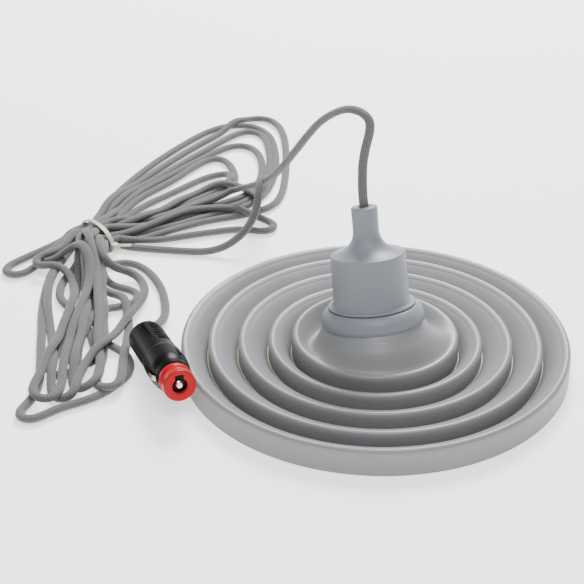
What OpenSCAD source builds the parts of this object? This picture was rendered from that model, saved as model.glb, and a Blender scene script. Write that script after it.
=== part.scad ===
// Pop-up hanging lamp: a stepped silicone shade, stored folded flat on its rim, a leaning
// screw lampholder with a bulb, and a braided cord with a hank and a universal vehicle plug.
// Millimetres. +Z is up and the origin is the centre of the rim's base.

/* [Shade] */
// Outer radius of the rim
rim_r = 125.2; // [120:0.1:130]
// Height of the crests above the table while folded
crest_z = 17.5; // [16:0.1:19]
// Height of the thin fold lines between two steps
fold_z = 3.8; // [3:0.1:5]
// Radius of the second crest, the first one inside the rim
crest_2_r = 105; // [104:0.1:106]
// Distance from one crest to the next
crest_step = 19.35; // [19:0.05:19.6]
// Radius of the innermost crest, where the dome starts
dome_crest_r = 51; // [50.5:0.1:51.5]
// Height of the innermost crest
dome_crest_z = 20.8; // [20:0.1:22]
// Radius that rounds each crest
crest_round = 2.6; // [2:0.1:3]
// Thickness of the stiff step walls
wall = 2.4; // [2:0.1:2.6]
// Height of a web's edge, about 1.4 times its thickness
web_edge = 1.6; // [1.2:0.1:1.8]

/* [Head] */
// Centre of the collar's base, sideways
head_x = -1.5; // [-3:0.5:3]
// Centre of the collar's base, front to back
head_y = -4.5; // [-6:0.5:0]
// Height of the collar's base
head_z = 30.5; // [30:0.5:32]
// Angle that the head leans from upright
head_lean = 15; // [0:1:16]
// Direction it leans in, anticlockwise from +X
lean_dir = 114; // [90:1:130]
// Outer radius of the collar
collar_r = 32.6; // [32:0.1:33]
// Height of the collar
collar_h = 11.6; // [11:0.1:12]
// Outer radius of the sleeve's bottom flange
flange_r = 27.8; // [27:0.1:28.5]
// Radius of the sleeve's cylinder at its base
sleeve_r = 24.2; // [24:0.1:25]
// Height of the sleeve's shoulder above the collar's base
shoulder_h = 46.2; // [45:0.1:48]
// Height of the neck's top above the collar's base
neck_h = 76.3; // [74:0.1:80]
// Outer radius of the neck
neck_r = 8.4; // [8:0.1:9]

/* [Bulb] */
// Radius of the opal globe
globe_r = 20; // [18:0.5:20]
// Number of light chips on the board
chip_count = 9; // [6:1:12]

/* [Plug] */
// Direction that the plug points in
plug_dir = -66.5; // [-67.5:0.5:-65.5]
// Angle that the plug's nose is raised by
plug_tilt = 9; // [9:0.5:11]
// Length from the rear face to the nose
plug_len = 82; // [81:1:84]
// Radius of the rear shell
rear_r = 12; // [11.5:0.1:12.2]
// Largest radius of the front shell
front_r = 12.75; // [12.6:0.05:13]
// Radius of the red adapter, for a 21 mm vehicle socket
adapter_r = 10.5; // [10.4:0.05:10.6]

/* [Cord] */
// Diameter of the braided cord
cord_d = 5.6; // [5:0.1:6]
// Height of the loops beyond the tie
far_loops_h = 22; // [20:1:26]
// Height of the loops on the plug's side of the tie
near_loops_h = 26; // [22:1:28]

/* [Hidden] */
gap = 0.15;
web_gap = 0.4;
rim_crest_r = rim_r - crest_round;
foot = 0.3;
head_at = [head_x, head_y, head_z];
plug_at = [-148.6, -2.4, 12.1];
adapter_t = 69;
tie_at = [-207, 144];
tie_dir = 43;
waist_w = 41;
waist_h = 15;
lobe_r = waist_w / 2 - 1;
lobe_off = lobe_r + 3;
thread_pitch = 3.6;
round_fn = 180;
small_fn = 48;
cord_sides = 8;
dome_sides = 72;

silicone = "#9fa3a6";
silicone_blue = "#959ca4";
black_plastic = "#1b1b1d";
white_plastic = "#e6e6e2";
nickel = "#c8c8c6";
braid = "#8f9290";

// From the neck up over the arch and down to the top of the far loops
riser_route = [
    [-9.6, 13.8, 104.8], [-10.5, 16, 111], [-11, 18, 120], [-11, 20, 130], [-9.5, 22, 141],
    [-7.5, 24, 150], [-8, 28, 156], [-13, 33, 159], [-21, 40, 158], [-30, 50, 151],
    [-40, 64, 138], [-49, 82, 120], [-58, 104, 99], [-69, 130, 74], [-79, 156, 53],
    [-93, 182, 34], [-111, 206, 17]];
// Out of the tie, round on the table and up into the plug's strain relief
tail_route = [
    [-203, 122, 4.4], [-203, 116, 3.6], [-200, 112, 3], [-195, 109, 3], [-189, 109, 3],
    [-181, 111, 3], [-172, 108, 3], [-162, 98, 3], [-152, 80, 3], [-146, 61, 3],
    [-143, 43, 3.4], [-143.5, 28, 6], [-147, 14.5, 9.2], [-151.1, 3.4, 11.1]];

function crest_r(k) = k == 1 ? rim_crest_r : k == 5 ? dome_crest_r : crest_2_r - (k - 2) * crest_step;
function foot_r(k) = crest_r(k) + crest_round + foot;

// ---- Shade ----

// Half section of one step wall, from its foot up over the rounded crest
module wall_outline(k, base_z, top_z) {
    foot_out = k == 1 ? 0 : foot;
    translate([crest_r(k), 0])
        polygon(concat(
            [[crest_round + foot_out - wall, base_z], [crest_round + foot_out, base_z]],
            [for (a = [0 : 15 : 90])
                [crest_round * cos(a), top_z - crest_round * (1 - sin(a))]],
            [[-1.6, top_z - 0.5], [-2.3, top_z - 1.5], [-1.4, top_z - 3.2],
                [crest_round - wall, top_z - 5.2]]));
}

// One stiff step of the shade
module step_wall(k, base_z) {
    color(silicone)
        rotate_extrude($fn = round_fn)
            wall_outline(k, base_z, crest_z);
}

// Thin web from the crest of step k down to the foot of the next step inside it
module web(k) {
    top_r = crest_r(k);
    low_r = foot_r(k + 1) + web_gap;
    color(silicone)
        rotate_extrude($fn = round_fn)
            polygon([[top_r - 2.7, crest_z - 1.5], [low_r, fold_z + web_edge],
                [low_r, fold_z], [top_r - 2.2, crest_z - 1.5 - web_edge]]);
}

module shade_rim() { step_wall(1, 0); }
module shade_web_1() { web(1); }
module shade_ring_2() { step_wall(2, fold_z); }
module shade_web_2() { web(2); }
module shade_ring_3() { step_wall(3, fold_z); }
module shade_web_3() { web(3); }
module shade_ring_4() { step_wall(4, fold_z); }
module shade_web_4() { web(4); }

function upright(r, z, a) = [r * cos(a), r * sin(a), z];

// A point at radius r and height h in the head's own leaning frame
function leaning(r, h, a) =
    let (x = r * cos(a - lean_dir), y = r * sin(a - lean_dir),
        u = x * cos(head_lean) + h * sin(head_lean),
        w = h * cos(head_lean) - x * sin(head_lean))
    head_at + [u * cos(lean_dir) - y * sin(lean_dir), u * sin(lean_dir) + y * cos(lean_dir), w];

// A row is radius, upright height, height in the leaning frame and share of the lean
function dome_point(row, a) =
    (1 - row[3]) * upright(row[0], row[1], a) + row[3] * leaning(row[0], row[2], a);

dome_outer = concat(
    [[dome_crest_r + crest_round + foot, fold_z, 0, 0]],
    [for (a = [0 : 22.5 : 90])
        [dome_crest_r + crest_round * cos(a), dome_crest_z - crest_round * (1 - sin(a)), 0, 0]],
    [[48, 20.2, -9, 0.15], [44, 19.5, -8, 0.45], [38, 18, -5.8, 0.87], [34, 0, -2.5, 1],
        [31.8, 0, 0, 1]]);
dome_inner = concat(
    [[dome_crest_r + crest_round + foot - wall, fold_z, 0, 0]],
    [for (a = [0 : 22.5 : 90])
        [dome_crest_r - 0.6 + 0.8 * cos(a), dome_crest_z - 4 + 1.4 * sin(a), 0, 0]],
    [[47.4, 18, -10.6, 0.15], [43.4, 17.4, -9.8, 0.45], [37, 16, -7.2, 0.87], [32, 0, -3.4, 1],
        [29.8, 0, 0, 1]]);

// The dome runs from the upright inner crest to the leaning collar as one skin
module shade_dome() {
    rows = concat(dome_outer, [for (i = [len(dome_inner) - 1 : -1 : 0]) dome_inner[i]]);
    count = len(rows);
    points = [for (j = [0 : dome_sides - 1], row = rows) dome_point(row, j * 360 / dome_sides)];
    faces = [for (j = [0 : dome_sides - 1], i = [0 : count - 1])
        let (a = j * count + i, b = j * count + (i + 1) % count,
            c = ((j + 1) % dome_sides) * count + (i + 1) % count,
            d = ((j + 1) % dome_sides) * count + i)
        each [[a, b, c], [a, c, d]]];
    color(silicone)
        polyhedron(points, faces, convexity = 6);
}

// Puts its children in the head's leaning frame, with z = 0 at the collar's base
module on_head() {
    translate(head_at)
        rotate([0, 0, lean_dir])
            rotate([0, head_lean, 0])
                rotate([0, 0, -lean_dir])
                    children();
}

module turned(steps = round_fn) {
    on_head()
        rotate_extrude($fn = steps)
            children();
}

// Thick rounded collar with an inner lip that the lampholder clamps
module shade_collar() {
    lip_z = 8;
    color(silicone_blue)
        turned()
            polygon(concat(
                [[29.2, gap], [collar_r - 1, gap], [collar_r, 2], [collar_r, 4.6]],
                [for (a = [15 : 15 : 90])
                    [collar_r - 7 + 7 * cos(a), 4.6 + (collar_h - 4.6) * sin(a)]],
                [[20.6, collar_h], [20.6, lip_z], [29.2, lip_z]]));
}

// Ring nut that holds the lip from below
module shade_nut() {
    nut_r = 28.4;
    notches = 8;
    color(silicone_blue)
        on_head()
            difference() {
                translate([0, 0, 3.4])
                    cylinder(r = nut_r, h = 4.3, $fn = round_fn);
                translate([0, 0, 3])
                    cylinder(r = 20.3, h = 5, $fn = round_fn);
                for (i = [0 : notches - 1])
                    rotate([0, 0, i * 360 / notches])
                        translate([nut_r, 0, 3])
                            cylinder(r = 1.6, h = 5, $fn = small_fn);
            }
}

// ---- Lampholder ----

// Silicone sleeve: bottom flange, cylinder, concave shoulder and cord neck in one skin
module holder_sleeve() {
    flange_z = collar_h + 0.5;
    flare_r = sleeve_r - 2.4 - neck_r;
    flare_h = 14;
    color(silicone_blue)
        turned()
            polygon(concat(
                [[21.6, flange_z], [flange_r - 0.5, flange_z], [flange_r, flange_z + 0.6],
                    [flange_r - 0.4, flange_z + 1.3], [sleeve_r + 0.5, flange_z + 1.7],
                    [sleeve_r, flange_z + 2.6], [sleeve_r - 0.6, shoulder_h - 1],
                    [sleeve_r - 1.3, shoulder_h]],
                [for (a = [0 : 10 : 90])
                    [neck_r - 0.1 + flare_r * (1 - sin(a)), shoulder_h + 0.4 + flare_h * (1 - cos(a))]],
                [[neck_r, neck_h - 1.2], [neck_r - 0.4, neck_h - 0.3], [neck_r - 1.4, neck_h],
                    [cord_d / 2 + 0.3, neck_h], [cord_d / 2 + 0.3, neck_h - 8],
                    [6.4, neck_h - 10], [6.4, 56], [12, 48.4], [21.6, 44.6]]));
}

// Plastic body of the screw lampholder with its skirt and screw shell pocket
module holder_body() {
    color(white_plastic)
        turned()
            polygon([[17.2, 2], [19.8, 2], [19.8, 12], [21.3, 12.4], [21.3, 40], [20, 44],
                [3, 44], [3, 42.4], [15.4, 42.4], [15.4, 14.2], [17.2, 13]]);
}

// Wavy outline of a rolled screw thread, from z0 to z1, at mid radius r
function thread_line(r, z0, z1, depth) =
    [for (z = [z0 : thread_pitch / 6 : z1 + 0.01]) [r + depth * sin(360 * (z - z0) / thread_pitch), z]];

function backwards(list) = [for (i = [len(list) - 1 : -1 : 0]) list[i]];

// Rolled metal shell that takes the bulb's cap
module thread_shell() {
    color(nickel)
        turned()
            polygon(concat(thread_line(13.1, 15, 36.6, 0.5), [[13.1, 38.6], [13.6, 38.6]],
                backwards(thread_line(13.6, 15, 36.6, 0.5))));
}

// Sprung centre contact strip above the bulb's tip
module holder_contact() {
    color("#c9a24a")
        on_head()
            translate([-9, -2.5, 0])
                union() {
                    translate([0, 0, 41.6])
                        cube([14, 5, 0.5]);
                    translate([0, 0, 39.4])
                        cube([0.6, 5, 2.3]);
                }
}

// Ceramic block that carries the two terminals
module terminal_block() {
    color(white_plastic)
        on_head()
            difference() {
                translate([0, 0, 44.2])
                    cylinder(r = 11, h = 3, $fn = small_fn * 2);
                for (s = [-1, 1])
                    translate([s * 6, 0, 44])
                        cylinder(r = 1.7, h = 4, $fn = small_fn);
            }
}

module terminal_screws() {
    color("#c9a24a")
        on_head()
            for (s = [-1, 1])
                translate([s * 6, 0, 44.4]) {
                    cylinder(r = 1.5, h = 2.9, $fn = small_fn);
                    translate([0, 0, 2.95])
                        cylinder(r = 2.7, h = 1.2, $fn = small_fn);
                }
}

// Two-jaw clamp that holds the cord inside the neck's root
module cord_grip() {
    color(white_plastic)
        on_head()
            for (s = [0, 180])
                rotate([0, 0, s])
                    translate([0.4, 0, 57])
                        difference() {
                            translate([0, -4, 0])
                                cube([4.4, 8, 7]);
                            translate([-0.4, 0, -1])
                                cylinder(r = cord_d / 2 + 0.1, h = 9, $fn = small_fn);
                            for (y = [-3.45, 3.45])
                                translate([-1, y, 3.5])
                                    rotate([0, 90, 0])
                                        cylinder(r = 0.35, h = 7, $fn = small_fn);
                        }
}

module grip_screws() {
    color(nickel)
        on_head()
            for (y = [-3.45, 3.45])
                translate([-4.2, y, 60.5])
                    rotate([0, 90, 0])
                        cylinder(r = 0.3, h = 8.4, $fn = small_fn);
}

// Two insulated conductors from the cord's end to the terminals
module lead_wires() {
    color("#3a3a3c")
        on_head()
            for (s = [-1, 1])
                hull() {
                    translate([s * 1.2, 0, 56])
                        sphere(r = 0.9, $fn = 24);
                    translate([s * 5.6, 0, 49.6])
                        sphere(r = 0.9, $fn = 24);
                }
}

// ---- Bulb ----

module bulb_cap() {
    color(nickel)
        turned()
            polygon(concat([[11, 14.6], [12.7, 14.6]], thread_line(12.7, 15, 36.6, 0.5),
                [[9.6, 38], [8.6, 38], [11.4, 36]]));
}

module bulb_insulator() {
    color("#26262a")
        turned()
            polygon([[3.3, 38.1], [9.4, 38.1], [5.2, 40], [3.3, 40]]);
}

module bulb_tip() {
    color(nickel)
        turned()
            polygon([[0, 38.2], [3.2, 38.2], [3.2, 40.1], [4.6, 40.15], [3.4, 41], [0, 41.4]]);
}

// Plastic housing between the cap and the light board
module bulb_housing() {
    color(white_plastic)
        turned()
            polygon([[10.8, 14.5], [12.4, 14.5], [14.6, 11.5], [16, 6.5], [16.4, 2],
                [globe_r - 0.6, -1.4], [globe_r - 1.6, -3], [globe_r - 3, -3], [15, 1.4],
                [14.4, 6], [13, 10.6]]);
}

module led_board() {
    color("#d9dadb")
        on_head()
            translate([0, 0, -1.6])
                cylinder(r = 14.6, h = 1.4, $fn = small_fn * 2);
}

module led_chips() {
    color("#f0d060")
        on_head()
            for (i = [0 : chip_count - 1])
                rotate([0, 0, i * 360 / chip_count])
                    translate([8.6, -1.4, -2.5])
                        cube([2.8, 2.8, 0.8]);
}

// Opal globe, open where it meets the housing
module bulb_globe() {
    cut_a = 8;
    shell = 1.2;
    color("#f4f4f0")
        on_head()
            translate([0, 0, -5.4])
                rotate_extrude($fn = round_fn)
                    polygon(concat(
                        [for (a = [-90 : 7 : cut_a]) globe_r * [max(cos(a), 0), sin(a)]],
                        [for (a = [cut_a : -7 : -90]) (globe_r - shell) * [max(cos(a), 0), sin(a)]],
                        [[0, shell - globe_r]]));
}

// ---- Cord and tie ----

function unit(v) = v / norm(v);

function tangent(route, i) =
    unit(route[min(i + 1, len(route) - 1)] - route[max(i - 1, 0)]);

// Round tube swept along a route; aside is never parallel to the route
module swept_cord(route, aside) {
    rings = len(route);
    points = [for (i = [0 : rings - 1], j = [0 : cord_sides - 1])
        let (t = tangent(route, i), u = unit(cross(t, aside)), v = cross(t, u),
            a = (j + 0.5) * 360 / cord_sides)
        route[i] + cord_d / 2 * (cos(a) * u + sin(a) * v)];
    skin = [for (i = [0 : rings - 2], j = [0 : cord_sides - 1])
        let (a = i * cord_sides + j, b = i * cord_sides + (j + 1) % cord_sides)
        each [[a, b, b + cord_sides], [a, b + cord_sides, a + cord_sides]]];
    ends = [[for (j = [cord_sides - 1 : -1 : 0]) j],
        [for (j = [0 : cord_sides - 1]) (rings - 1) * cord_sides + j]];
    color(braid)
        polyhedron(points, [for (f = concat(skin, ends)) backwards(f)], convexity = 8);
}

module cord_riser() { swept_cord(riser_route, [0.89, 0.46, 0]); }
module cord_tail() { swept_cord(tail_route, [0, 0, 1]); }

module disc_at(p, r) {
    translate(p)
        circle(r = r, $fn = 32);
}

// Point on the strands' line at a signed distance from the tie
function along_tie(d) = tie_at + d * [cos(tie_dir), sin(tie_dir)];

// Puts its children at the tie, with x along the strands
module on_tie() {
    translate([tie_at[0], tie_at[1], 0])
        rotate([0, 0, tie_dir])
            children();
}

// Outer shape of the long loops behind the tie
module cord_loops_far() {
    color(braid)
        linear_extrude(far_loops_h)
            hull() {
                disc_at(along_tie(lobe_off), lobe_r);
                disc_at([-106, 355], 25);
                disc_at([-97, 300], 20);
                disc_at([-95, 235], 20);
                disc_at([-100, 180], 20);
                disc_at([-125, 150], 18);
            }
}

// Outer shape of the tumbled loops before the tie, and the waist inside it
module cord_loops_near() {
    color(braid)
        union() {
            linear_extrude(near_loops_h)
                hull() {
                    disc_at(along_tie(-lobe_off), lobe_r);
                    disc_at([-246, 88], 14);
                    disc_at([-205, -68], 15);
                    disc_at([-172, -40], 14);
                    disc_at([-177, 70], 13);
                }
            on_tie()
                translate([-6, -waist_w / 2, 1.8])
                    cube([8.8, waist_w, waist_h]);
        }
}

// Band of the cable tie, upright round the waist
module tie_band() {
    band = 3.4;
    inner_w = waist_w + 0.6;
    inner_h = waist_h + 0.6;
    thick = 1.2;
    color("#e8e4d4")
        on_tie()
            translate([-band / 2, 0, 1.5 - thick])
                difference() {
                    translate([0, -inner_w / 2 - thick, 0])
                        cube([band, inner_w + 2 * thick, inner_h + 2 * thick]);
                    translate([-1, -inner_w / 2, thick])
                        cube([band + 2, inner_w, inner_h]);
                }
}

// Ratchet head of the tie and its cut tail
module tie_head() {
    color("#e8e4d4")
        on_tie()
            translate([-2.6, -waist_w / 2 - 6.4, 7])
                union() {
                    cube([5.2, 4.8, 4.4]);
                    translate([5, 1.6, 1.6])
                        cube([12, 2.4, 1.2]);
                }
}

// ---- Plug ----

// Puts its children in the plug's frame, with +Z out of its nose and -X up
module on_plug() {
    translate(plug_at)
        rotate([0, 0, plug_dir])
            rotate([0, 90 - plug_tilt, 0])
                children();
}

module plug_turned() {
    on_plug()
        rotate_extrude($fn = round_fn)
            children();
}

module plug_strain_relief() {
    color(black_plastic)
        plug_turned()
            polygon([[cord_d / 2 + 0.1, -5], [3.9, -5], [4.6, 0.5], [4.6, 4], [cord_d / 2 + 0.1, 4]]);
}

// Rear shell with a ribbed thumb patch and a long groove beside it
module plug_rear_shell() {
    rib_count = 8;
    color(black_plastic)
        on_plug()
            difference() {
                rotate_extrude($fn = round_fn)
                    polygon([[4.8, 0], [10.6, 0], [rear_r, 1.6], [rear_r, 40], [10, 40], [10, 3],
                        [4.8, 3]]);
                for (i = [0 : rib_count - 1])
                    rotate([0, 0, 38])
                        translate([-rear_r - 0.3, -5, 5 + i * 3.4])
                            cube([0.9, 10, 1.4]);
                rotate([0, 0, -8])
                    translate([-rear_r - 0.4, -1.2, 4])
                        cube([1.2, 2.4, 24]);
                translate([9, 0, 14])
                    rotate([0, 90, 0])
                        cylinder(r = 1.7, h = 4, $fn = small_fn);
            }
}

// Front shell that narrows to the nose, with a slot for each side contact
module plug_front_shell() {
    color(black_plastic)
        on_plug()
            difference() {
                rotate_extrude($fn = round_fn)
                    polygon([[6.2, 40.2], [rear_r, 40.2], [front_r, 42.7], [front_r, 57.6],
                        [11.4, 64.2], [11, adapter_t - 0.3], [6.2, adapter_t - 0.3], [6.2, 66.5],
                        [8.6, 66.5], [8.6, 42.4], [6.2, 42.4]]);
                for (s = [-1, 1])
                    translate([-2.3, s * 11.4 - 3, 48.8])
                        cube([4.6, 6, 17]);
                rotate([0, 0, 20])
                    translate([-front_r - 0.5, -0.7, 50])
                        cube([1.6, 1.4, 13]);
            }
}

// Screw that closes the shells, in the underside of the rear shell
module plug_screw() {
    color(nickel)
        on_plug()
            translate([6, 0, 14])
                rotate([0, 90, 0])
                    cylinder(r = 1.4, h = rear_r - 6.6, $fn = small_fn);
}

// Narrow 12 mm inner plug that the adapter sits on
module plug_barrel() {
    color(black_plastic)
        plug_turned()
            polygon([[4.4, 31], [6, 31], [6, plug_len - 3.4], [3.1, plug_len - 3.4],
                [3.1, plug_len - 6], [4.4, plug_len - 6]]);
}

// Sprung centre contact
module plug_tip() {
    color(nickel)
        plug_turned()
            polygon([[0, plug_len - 10.4], [4.1, plug_len - 10.4], [4.1, plug_len - 9.2],
                [2.8, plug_len - 8.8], [2.8, plug_len - 2], [1.6, plug_len - 0.8],
                [0, plug_len - 0.6]]);
}

// Glass fuse that moves with the tip
module plug_fuse() {
    color("#c8d4d8")
        on_plug()
            translate([0, 0, plug_len - 31])
                cylinder(r = 3.2, h = 20.4, $fn = small_fn);
}

// Fuse spring, as its closed-up outer shape
module plug_spring() {
    color(nickel)
        on_plug()
            difference() {
                translate([0, 0, plug_len - 44])
                    cylinder(r = 3.6, h = 10.3, $fn = small_fn);
                translate([0, 0, plug_len - 45])
                    cylinder(r = 2.6, h = 12.4, $fn = small_fn);
            }
}

// Bent leaf contact that stands out of its slot
module leaf(side) {
    color(nickel)
        on_plug()
            rotate([0, 0, side < 0 ? 180 : 0])
                translate([1.8, 0, 0])
                    rotate([0, -90, 0])
                        linear_extrude(3.6)
                            polygon([[49.4, 10.4], [52.1, 12], [57.6, 13], [62, 12.5], [65.3, 11],
                                [64.9, 10.4], [61.6, 11.7], [57.6, 12.3], [52.5, 11.3], [50, 10]]);
}

module plug_leaf_left() { leaf(-1); }
module plug_leaf_right() { leaf(1); }

// Red sleeve for the 21 mm socket, with a keyhole opening in its face
module plug_adapter() {
    face = 2.4;
    color("#e0393c")
        on_plug()
            difference() {
                translate([0, 0, adapter_t])
                    cylinder(r = adapter_r, h = plug_len - adapter_t, $fn = round_fn);
                translate([0, 0, adapter_t - 1])
                    cylinder(r = 6.3, h = plug_len - adapter_t + 1 - face, $fn = round_fn);
                translate([0, 0, plug_len - face - 1])
                    cylinder(r = 4.8, h = face + 2, $fn = round_fn);
                translate([-7.2, -2.6, plug_len - face - 1])
                    cube([7.2, 5.2, face + 2]);
            }
}

shade_rim();
shade_web_1();
shade_ring_2();
shade_web_2();
shade_ring_3();
shade_web_3();
shade_ring_4();
shade_web_4();
shade_dome();
shade_collar();
shade_nut();
holder_sleeve();
holder_body();
thread_shell();
holder_contact();
terminal_block();
terminal_screws();
cord_grip();
grip_screws();
lead_wires();
bulb_cap();
bulb_insulator();
bulb_tip();
bulb_housing();
led_board();
led_chips();
bulb_globe();
cord_riser();
cord_loops_far();
cord_loops_near();
cord_tail();
tie_band();
tie_head();
plug_strain_relief();
plug_rear_shell();
plug_front_shell();
plug_screw();
plug_barrel();
plug_tip();
plug_fuse();
plug_spring();
plug_leaf_left();
plug_leaf_right();
plug_adapter();
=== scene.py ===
"""Pop-up silicone hanging lamp, folded flat, with its hank of braided cord and vehicle plug."""
import math

import bmesh
import bpy
import numpy as np
from mathutils import Matrix, Vector


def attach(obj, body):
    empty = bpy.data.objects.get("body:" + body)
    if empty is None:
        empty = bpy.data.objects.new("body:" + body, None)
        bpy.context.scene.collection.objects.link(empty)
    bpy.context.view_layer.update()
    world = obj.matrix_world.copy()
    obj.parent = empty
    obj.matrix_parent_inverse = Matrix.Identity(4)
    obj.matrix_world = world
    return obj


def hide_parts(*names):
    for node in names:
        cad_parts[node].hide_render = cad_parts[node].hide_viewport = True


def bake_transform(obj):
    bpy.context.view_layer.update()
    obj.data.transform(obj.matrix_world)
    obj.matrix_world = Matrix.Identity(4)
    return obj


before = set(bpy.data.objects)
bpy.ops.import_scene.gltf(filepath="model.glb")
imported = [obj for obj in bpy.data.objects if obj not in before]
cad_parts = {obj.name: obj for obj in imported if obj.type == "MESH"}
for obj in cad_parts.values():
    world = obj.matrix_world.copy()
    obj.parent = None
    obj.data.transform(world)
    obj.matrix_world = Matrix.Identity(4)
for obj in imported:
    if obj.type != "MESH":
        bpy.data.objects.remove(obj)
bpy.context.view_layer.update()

MM = 0.001

# Sizes that part.scad also holds, in millimetres
RIM_CREST_R = 122.6
CREST_Z = 17.5
FOLD_Z = 3.8
CREST_R = {1: RIM_CREST_R, 2: 105.0, 3: 85.65, 4: 66.3, 5: 51.0}
CREST_ROUND = 2.6
WALL = 2.4
DOME_CREST_Z = 20.8
HEAD_AT = Vector((-1.5, -4.5, 30.5))
HEAD_LEAN = math.radians(15)
LEAN_DIR = math.radians(114)
PLUG_AT = Vector((-148.6, -2.4, 12.1))
PLUG_DIR = math.radians(-66.5)
PLUG_TILT = math.radians(9)
PLUG_LEN = 82.0
ADAPTER_T = 69
TIE_AT = Vector((-207, 144, 0))
TIE_DIR = math.radians(43)


def head_matrix():
    """The head's leaning frame, z = 0 at the collar's base."""
    turn = Matrix.Rotation(LEAN_DIR, 4, "Z")
    return Matrix.Translation(HEAD_AT) @ turn @ Matrix.Rotation(HEAD_LEAN, 4, "Y") @ turn.inverted()


def plug_matrix():
    """The plug's frame, +Z out of its nose and -X up."""
    tilt = Matrix.Rotation(math.pi / 2 - PLUG_TILT, 4, "Y")
    return Matrix.Translation(PLUG_AT) @ Matrix.Rotation(PLUG_DIR, 4, "Z") @ tilt


def tie_matrix():
    """The tie's frame, x along the strands."""
    return Matrix.Translation(TIE_AT) @ Matrix.Rotation(TIE_DIR, 4, "Z")


# ---- Camera ----

SENSOR_WIDE = 36
# The image's width and the focal length, both in pixels
IMAGE_WIDE = 584
FOCAL_LENGTH = 1500
CAMERA_AT = (0, -0.82308, 0.53043)
CAMERA_PITCH = math.radians(59.70026)
CAMERA_YAW = math.radians(3.73427)


def add_camera():
    data = bpy.data.cameras.new("camera")
    data.sensor_width = SENSOR_WIDE
    data.lens = FOCAL_LENGTH / IMAGE_WIDE * SENSOR_WIDE
    camera = bpy.data.objects.new("camera", data)
    camera.location = CAMERA_AT
    camera.rotation_euler = (CAMERA_PITCH, 0, CAMERA_YAW)
    bpy.context.scene.collection.objects.link(camera)
    bpy.context.scene.camera = camera


add_camera()

# ---- Cord ----

CORD_WIDE = 6.1
CORD_FLAT = 4.9
TUBE_STEP = 1.6
TUBE_SIDES = 14

# From the neck up over the arch and down to the top of the far loops
RISER = [
    (-9.6, 13.8, 104.8), (-10.5, 16, 111), (-11, 18, 120), (-11, 20, 130), (-9.5, 22, 141),
    (-7.5, 24, 150), (-8, 28, 156), (-13, 33, 159), (-21, 40, 158), (-30, 50, 151),
    (-40, 64, 138), (-49, 82, 120), (-58, 104, 99), (-69, 130, 74), (-79, 156, 53),
    (-93, 182, 34), (-111, 206, 17)]
# Along the top of the far loops to the tie
RISER_END = [(-125, 205, 12), (-145, 195, 9), (-170, 172, 10)]
# Out of the tie, round on the table and up into the plug's strain relief
TAIL = [
    (-203, 122, 4.4), (-203, 116, 3.6), (-200, 112, 3), (-195, 109, 3), (-189, 109, 3),
    (-181, 111, 3), (-172, 108, 3), (-162, 98, 3), (-152, 80, 3), (-146, 61, 3),
    (-143, 43, 3.4), (-143.5, 28, 6), (-147, 14.5, 9.2), (-151.1, 3.4, 11.1)]
# Each loop has its place in the pile, then the spots it passes. A spot of four numbers is a fold:
# its tip, the way the tip points in degrees, and its radius, negative where the cord turns right.
NEAR_LOOPS = [
    (5, [(-201, 95), (-190, 55), (-180, 0), (-181, -56, -90, -9), (-194, 10), (-202, 80)]),
    (1, [(-240, 132), (-262, 88, -120, 9), (-236, 122)]),
    (3, [(-200, 105), (-188, 80), (-162, 62, 0, -12), (-186, 42), (-194, 5), (-200, -40, -95, -9),
         (-206, 10), (-209, 70)]),
    (2, [(-214, 110), (-221, 80), (-218, 57), (-204, 40), (-188, 10), (-188, -26, -90, -9), (-196, 30),
         (-201, 90)]),
    (7, [(-232, 122), (-242, 105, -160, 9), (-220, 110), (-204, 95), (-198, 55), (-199, -5),
         (-204, -70, -95, -9), (-207, -10), (-206, 40), (-213, 78), (-228, 93), (-245, 98, 180, -9),
         (-226, 118)]),
    (4, [(-199, 88), (-190, 65), (-176, 62), (-166, 30), (-162, -10), (-170, -55, -110, -9), (-177, -5),
         (-188, 50), (-196, 95)]),
    (6, [(-197, 95), (-188, 84), (-174, 95), (-163, 80), (-162, 55), (-171, 10), (-185, -35),
         (-195, -65, -105, -9), (-210, -5), (-225, 45), (-229, 90)]),
    (0, [(-198, 80), (-182, 10), (-162, -8), (-156, -33), (-172, -59), (-195, -75),
         (-217, -83, -155, -9), (-211, -45), (-222, 15), (-230, 75), (-226, 120)])]
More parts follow.
